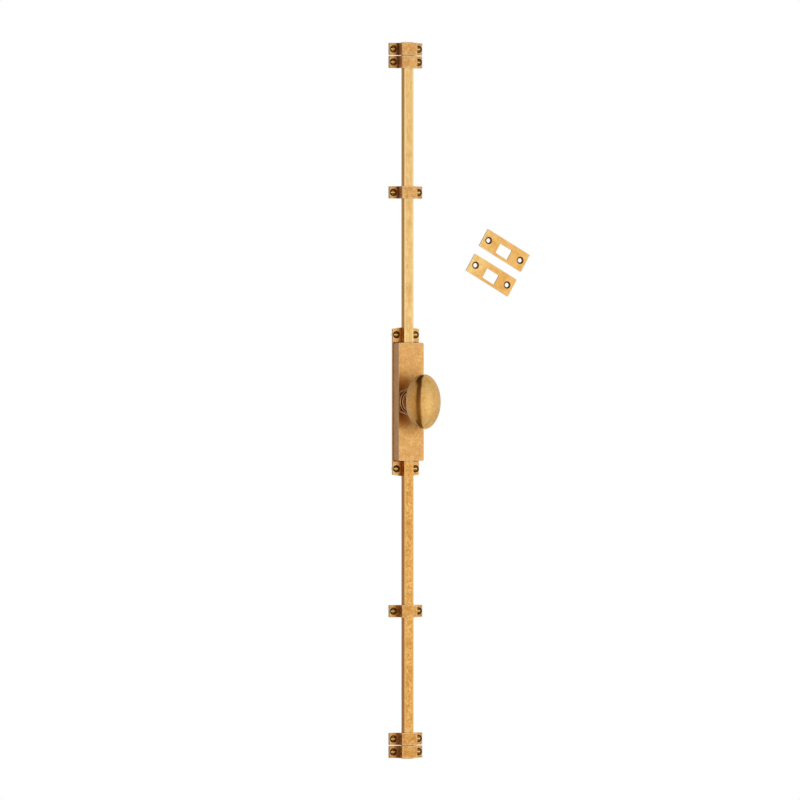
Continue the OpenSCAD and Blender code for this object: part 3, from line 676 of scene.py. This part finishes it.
def tent_glow(azimuth, elevation):
    """Colour of the tent by direction, in degrees. Its front right of the camera is white, it dims to the sides
    and away from the level, and its left is warm. A brown flag hangs over the camera from behind the bolt's foot to
    behind its head, with edges set by how far a direction lies across the camera's line and turns over it."""
    rise = np.interp(elevation, TENT_HEIGHTS, FRONT_RISE)
    even = np.clip((azimuth - EVEN_START) / EVEN_FADE, 0, 1)
    level = np.stack([np.interp(azimuth, TENT_CLOTHS[:, 0], TENT_CLOTHS[:, k]) for k in (1, 2, 3)], -1)
    cloth = level * (rise + (1 - rise) * even)[..., None]
    aside, up = np.radians(azimuth - VIEW_AZIMUTH), np.radians(elevation)
    across = np.sin(aside) * np.cos(up)
    turn = np.degrees(np.arctan2(np.sin(up), np.cos(aside) * np.cos(up)))
    left_edge, right_edge = np.interp(turn, FLAG_TURNS, FLAG_LEFT), np.interp(turn, FLAG_TURNS, FLAG_RIGHT)
    flag = np.clip((across - left_edge) / FLAG_FADES[0] + 0.5, 0, 1)
    flag *= np.clip((right_edge - across) / FLAG_FADES[1] + 0.5, 0, 1)
    flag *= np.clip((FLAG_END - np.abs(turn)) / FLAG_END_FADE, 0, 1)
    dim = np.interp(turn, FLAG_DIM_TURNS, FLAG_DIM)
    return cloth * (1 - flag[..., None]) + (flag * dim)[..., None] * np.array(FLAG_COLOUR)


def add_tent():
    """A sphere of cloth round the stage, seen only in reflections. Its points follow azimuth and elevation."""
    azimuth, elevation = np.meshgrid(np.linspace(TENT_SEAM, TENT_SEAM + 360, TENT_COLUMNS),
                                     np.linspace(-90, 90, TENT_ROWS), indexing="ij")
    a, e = np.radians(azimuth), np.radians(elevation)
    points = TENT_RADIUS * np.stack([np.sin(a) * np.cos(e), -np.cos(a) * np.cos(e), np.sin(e)], -1)
    tent = add_mesh("light_tent", points, grid_faces(TENT_COLUMNS, TENT_ROWS))
    glow = np.ones(azimuth.shape + (4,), np.float32)
    glow[..., :3] = tent_glow(azimuth, elevation)
    tent.data.attributes.new("glow", "FLOAT_COLOR", "POINT").data.foreach_set("color", glow.ravel())
    material, f = new_material("tent_cloth")
    shine = f.node("Emission", {}, {"Color": f.node("Attribute", {"attribute_name": "glow"}), "Strength": 1.0})
    f.node("OutputMaterial", {}, {"Surface": shine})
    tent.data.materials.append(material)
    for ray in ("camera", "diffuse", "transmission", "volume_scatter", "shadow"):
        setattr(tent, "visible_" + ray, False)


add_tent()

FLOOR_RADIUS = 1.6
FLOOR_DROP = 0.26                    # below the bolt's lowest point
FLOOR_RINGS = FLOOR_RADIUS * np.array([0.0, 0.5, 1.0])
FLOOR_STEPS = 97


def add_floor():
    """A pale round floor under the bolt, out of the photograph's view. Its points follow turn and reach."""
    turn, reach = np.meshgrid(np.linspace(0, 2 * np.pi, FLOOR_STEPS), FLOOR_RINGS, indexing="ij")
    level = np.full(turn.shape, cad_box[0].z - FLOOR_DROP)
    points = np.stack([reach * np.cos(turn), reach * np.sin(turn), level], -1)
    floor = add_mesh("floor", points, grid_faces(FLOOR_STEPS, len(FLOOR_RINGS)))
    material, f = new_material("floor_paper")
    x, y, _ = f.axes()
    rim = f.ramp((x * x + y * y) ** 0.5, 0.45 * FLOOR_RADIUS, 0.95 * FLOOR_RADIUS)
    matt = f.node("BsdfDiffuse", {}, {"Color": rgb(0.9, 0.9, 0.9)})
    white = f.node("Emission", {}, {"Color": rgb(1, 1, 1), "Strength": 1.0})
    f.node("OutputMaterial", {}, {"Surface": f.node("MixShader", {}, {0: rim, 1: matt, 2: white})})
    floor.data.materials.append(material)
    floor.visible_glossy = False


add_floor()


def add_softbox(name, azimuth, elevation, distance, side, watts):
    """A square area lamp that faces the bolt from that direction, and that the metal doesn't mirror."""
    data = bpy.data.lights.new(name, "AREA")
    data.size = side
    data.energy = watts
    back = towards(azimuth, elevation)
    add_aimed(name, data, back * distance, back).visible_glossy = False


add_softbox("key_softbox", azimuth=30, elevation=42, distance=2.2, side=1.0, watts=12.0)

FILL_STRENGTH = 0.55


def add_world():
    """A white surround for the camera and for reflections, and a dimmer one for soft fill."""
    world = bpy.data.worlds.new("surround")
    world.use_nodes = True
    bpy.context.scene.world = world
    f = Finish(world.node_tree)
    path = f.node("LightPath", out="Is Camera Ray")
    mirrored = f.math("MAXIMUM", path.other("Is Glossy Ray"), path.other("Is Transmission Ray"))
    seen = f.math("MAXIMUM", path, mirrored)
    fill = f.node("Background", {}, {"Color": rgb(1, 1, 1), "Strength": FILL_STRENGTH})
    white = f.node("Background", {}, {"Color": rgb(1, 1, 1), "Strength": 1.0})
    both = f.node("MixShader", {}, {0: seen, 1: fill, 2: white})
    f.node("OutputWorld", {}, {"Surface": both})


add_world()
bpy.context.scene.view_settings.view_transform = "Standard"
